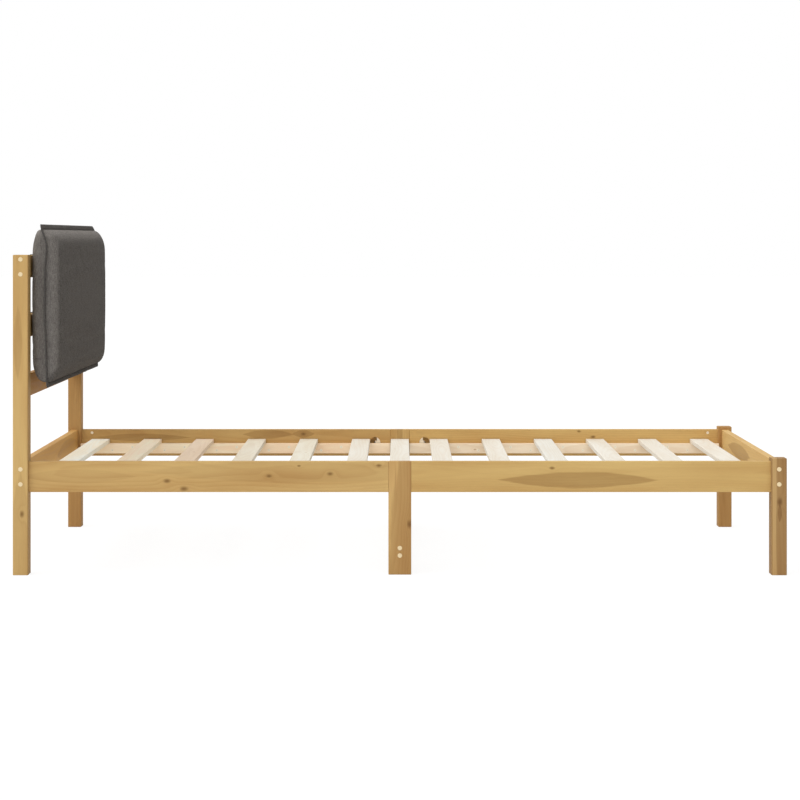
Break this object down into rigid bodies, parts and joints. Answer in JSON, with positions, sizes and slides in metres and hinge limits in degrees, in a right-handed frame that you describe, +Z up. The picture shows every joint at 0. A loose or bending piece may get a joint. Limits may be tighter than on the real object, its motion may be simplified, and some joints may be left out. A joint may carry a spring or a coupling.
{
  "type": "bed frame with headboard",
  "caption": "Single pine bed frame on posts and middle legs, with side rails in two halves, screwed slats, and an open headboard that carries a padded flanged cushion.",
  "frame": {"origin": "on the floor under the middle of the bed", "axes": "+X from the head to the foot, +Z up, +Y to the left of someone who lies on their back with the head at -X"},
  "size_m": [2.061, 0.9622, 0.9345],
  "materials": {
    "waxed_pine": "waxed honey brown pine with knots",
    "raw_pine": "raw pale slat wood",
    "planed_pine": "planed pale wood",
    "pale_plug_wood": "pale end grain",
    "dark_grey_fabric": "woven melange upholstery fabric",
    "foam": "open cell foam",
    "strap_webbing": "hook and loop webbing",
    "zinc_steel": "bright zinc plated"
  },
  "bodies": {
    "root": {"corner_barrel_nuts": "zinc_steel", "corner_bolts": "zinc_steel", "cushion_back_cover": "dark_grey_fabric", "cushion_foam_core": "foam", "cushion_front_cover": "dark_grey_fabric", "cushion_straps": "strap_webbing", "foot_end_board": "waxed_pine", "foot_post_left": "waxed_pine", "foot_post_right": "waxed_pine", "half_moon_washers_foot": "zinc_steel", "half_moon_washers_head": "zinc_steel", "head_end_board": "waxed_pine", "head_post_left": "waxed_pine", "head_post_right": "waxed_pine", "headboard_lower_rail": "waxed_pine", "headboard_middle_rail": "waxed_pine", "headboard_top_rail": "waxed_pine", "joint_plugs": "pale_plug_wood", "joint_screws": "zinc_steel", "ledger_screws": "zinc_steel", "middle_cleat_left": "planed_pine", "middle_cleat_right": "planed_pine", "middle_joint_nuts": "zinc_steel", "middle_joint_rods": "zinc_steel", "middle_leg_left": "waxed_pine", "middle_leg_right": "waxed_pine", "middle_leg_stretcher": "waxed_pine", "side_rail_left_foot": "waxed_pine", "side_rail_left_head": "waxed_pine", "side_rail_right_foot": "waxed_pine", "side_rail_right_head": "waxed_pine", "slat_01": "raw_pine", "slat_02": "raw_pine", "slat_03": "raw_pine", "slat_04": "raw_pine", "slat_05": "raw_pine", "slat_06": "raw_pine", "slat_07": "raw_pine", "slat_08": "raw_pine", "slat_09": "raw_pine", "slat_10": "raw_pine", "slat_11": "raw_pine", "slat_12": "raw_pine", "slat_13": "raw_pine", "slat_ledger_left_foot": "planed_pine", "slat_ledger_left_head": "planed_pine", "slat_ledger_right_foot": "planed_pine", "slat_ledger_right_head": "planed_pine", "slat_screws": "zinc_steel", "wood_dowels": "pale_plug_wood"}
  },
  "joints": []
}
